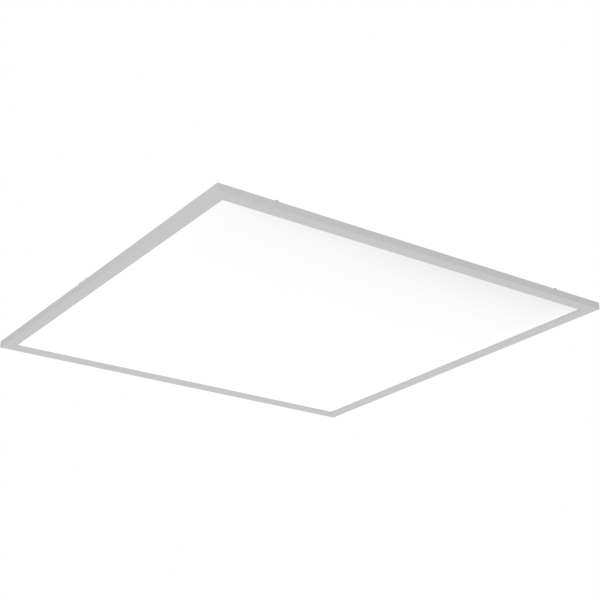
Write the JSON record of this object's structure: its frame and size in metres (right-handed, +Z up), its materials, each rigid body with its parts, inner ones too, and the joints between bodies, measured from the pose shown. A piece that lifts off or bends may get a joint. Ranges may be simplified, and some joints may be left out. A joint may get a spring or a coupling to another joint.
{
  "type": "recessed troffer light",
  "caption": "Square flat-panel recessed troffer light for a 2 by 2 ft ceiling grid, edge lit, with folding grid clips and a driver housing with a hinged lid on its back.",
  "frame": {"origin": "centre of the underside, on the plane of the frame's lower face that rests on the ceiling grid", "axes": "+Z up into the ceiling void, +X towards the right rail, +Y towards the rear rail; light leaves downward"},
  "size_m": [0.603, 0.603, 0.0483],
  "materials": {
    "frame_paint": "satin white powder coat",
    "key_aluminium": "sawn and deburred",
    "zinc_screw": "zinc plated",
    "diffuser_opal": "opal satin",
    "guide_acrylic": "clear polished",
    "reflector_film": "white satin",
    "foam": "closed cell foam",
    "board_aluminium": "white solder mask on aluminium",
    "thermal_tape": "soft grey",
    "led_phosphor": "yellow phosphor lens",
    "cover_steel": "galvanised sheet",
    "bracket_steel": "zinc plated sheet",
    "clip_steel": "zinc plated spring steel",
    "housing_paint": "white powder coat",
    "rivet_aluminium": "plain drawn",
    "grommet_rubber": "matt black",
    "driver_steel": "galvanised sheet",
    "circuit_laminate": "green solder mask",
    "ferrite": "matt dark grey",
    "capacitor_sleeve": "shrink sleeve",
    "terminal_plastic": "moulded nylon",
    "tinned_copper": "tin plated",
    "ground_insulation": "green PVC",
    "line_insulation": "black PVC",
    "neutral_insulation": "white PVC",
    "led_lead_insulation": "white PVC"
  },
  "bodies": {
    "panel": {"frame_rail_front": "frame_paint", "frame_rail_right": "frame_paint", "frame_rail_rear": "frame_paint", "frame_rail_left": "frame_paint", "corner_key_front_left": "key_aluminium", "corner_key_front_right": "key_aluminium", "corner_key_rear_right": "key_aluminium", "corner_key_rear_left": "key_aluminium", "corner_key_screws": "zinc_screw", "back_cover_screws": "zinc_screw", "tie_bracket_screws": "zinc_screw", "clip_screws": "zinc_screw", "driver_screws": "zinc_screw", "terminal_screw": "zinc_screw", "ground_screw": "zinc_screw", "clip_pins": "zinc_screw", "lid_hinge_pin_left": "zinc_screw", "lid_hinge_pin_right": "zinc_screw", "diffuser": "diffuser_opal", "light_guide": "guide_acrylic", "reflector_sheet": "reflector_film", "foam_pad": "foam", "led_board_front": "board_aluminium", "led_board_rear": "board_aluminium", "thermal_tape_front": "thermal_tape", "thermal_tape_rear": "thermal_tape", "led_packages_front": "led_phosphor", "led_packages_rear": "led_phosphor", "back_cover": "cover_steel", "clip_bracket_front_left": "bracket_steel", "clip_bracket_front_right": "bracket_steel", "clip_bracket_rear_right": "bracket_steel", "clip_bracket_rear_left": "bracket_steel", "tie_wire_bracket_left": "bracket_steel", "tie_wire_bracket_right": "bracket_steel", "driver_housing": "housing_paint", "housing_rivets": "rivet_aluminium", "lead_grommets": "grommet_rubber", "driver_base": "driver_steel", "driver_case": "driver_steel", "driver_circuit_board": "circuit_laminate", "driver_transformer": "ferrite", "driver_capacitors": "capacitor_sleeve", "terminal_block": "terminal_plastic", "ground_ring": "tinned_copper", "ground_lead": "ground_insulation", "line_lead": "line_insulation", "neutral_lead": "neutral_insulation", "led_lead_front": "led_lead_insulation", "led_lead_rear": "led_lead_insulation"},
    "front_left_clip": {"grid_clip_front_left": "clip_steel"},
    "front_right_clip": {"grid_clip_front_right": "clip_steel"},
    "rear_right_clip": {"grid_clip_rear_right": "clip_steel"},
    "rear_left_clip": {"grid_clip_rear_left": "clip_steel"},
    "driver_lid": {"driver_lid": "housing_paint", "lid_screw": "zinc_screw"}
  },
  "joints": [
    {"name": "front_left_clip_fold", "type": "hinge", "parent": "panel", "child": "front_left_clip", "pos_m": [-0.2215, -0.2905, 0.01244], "axis": [1, 0, 0], "range_deg": [0, 90]},
    {"name": "front_right_clip_fold", "type": "hinge", "parent": "panel", "child": "front_right_clip", "pos_m": [0.2215, -0.2905, 0.01244], "axis": [1, 0, 0], "range_deg": [0, 90]},
    {"name": "rear_right_clip_fold", "type": "hinge", "parent": "panel", "child": "rear_right_clip", "pos_m": [0.2215, 0.2905, 0.01244], "axis": [-1, 0, 0], "range_deg": [0, 90]},
    {"name": "rear_left_clip_fold", "type": "hinge", "parent": "panel", "child": "rear_left_clip", "pos_m": [-0.2215, 0.2905, 0.01244], "axis": [-1, 0, 0], "range_deg": [0, 90]},
    {"name": "driver_lid_hinge", "type": "hinge", "parent": "panel", "child": "driver_lid", "pos_m": [0, 0.04704, 0.04426], "axis": [-1, 0, 0], "range_deg": [0, 110]}
  ]
}
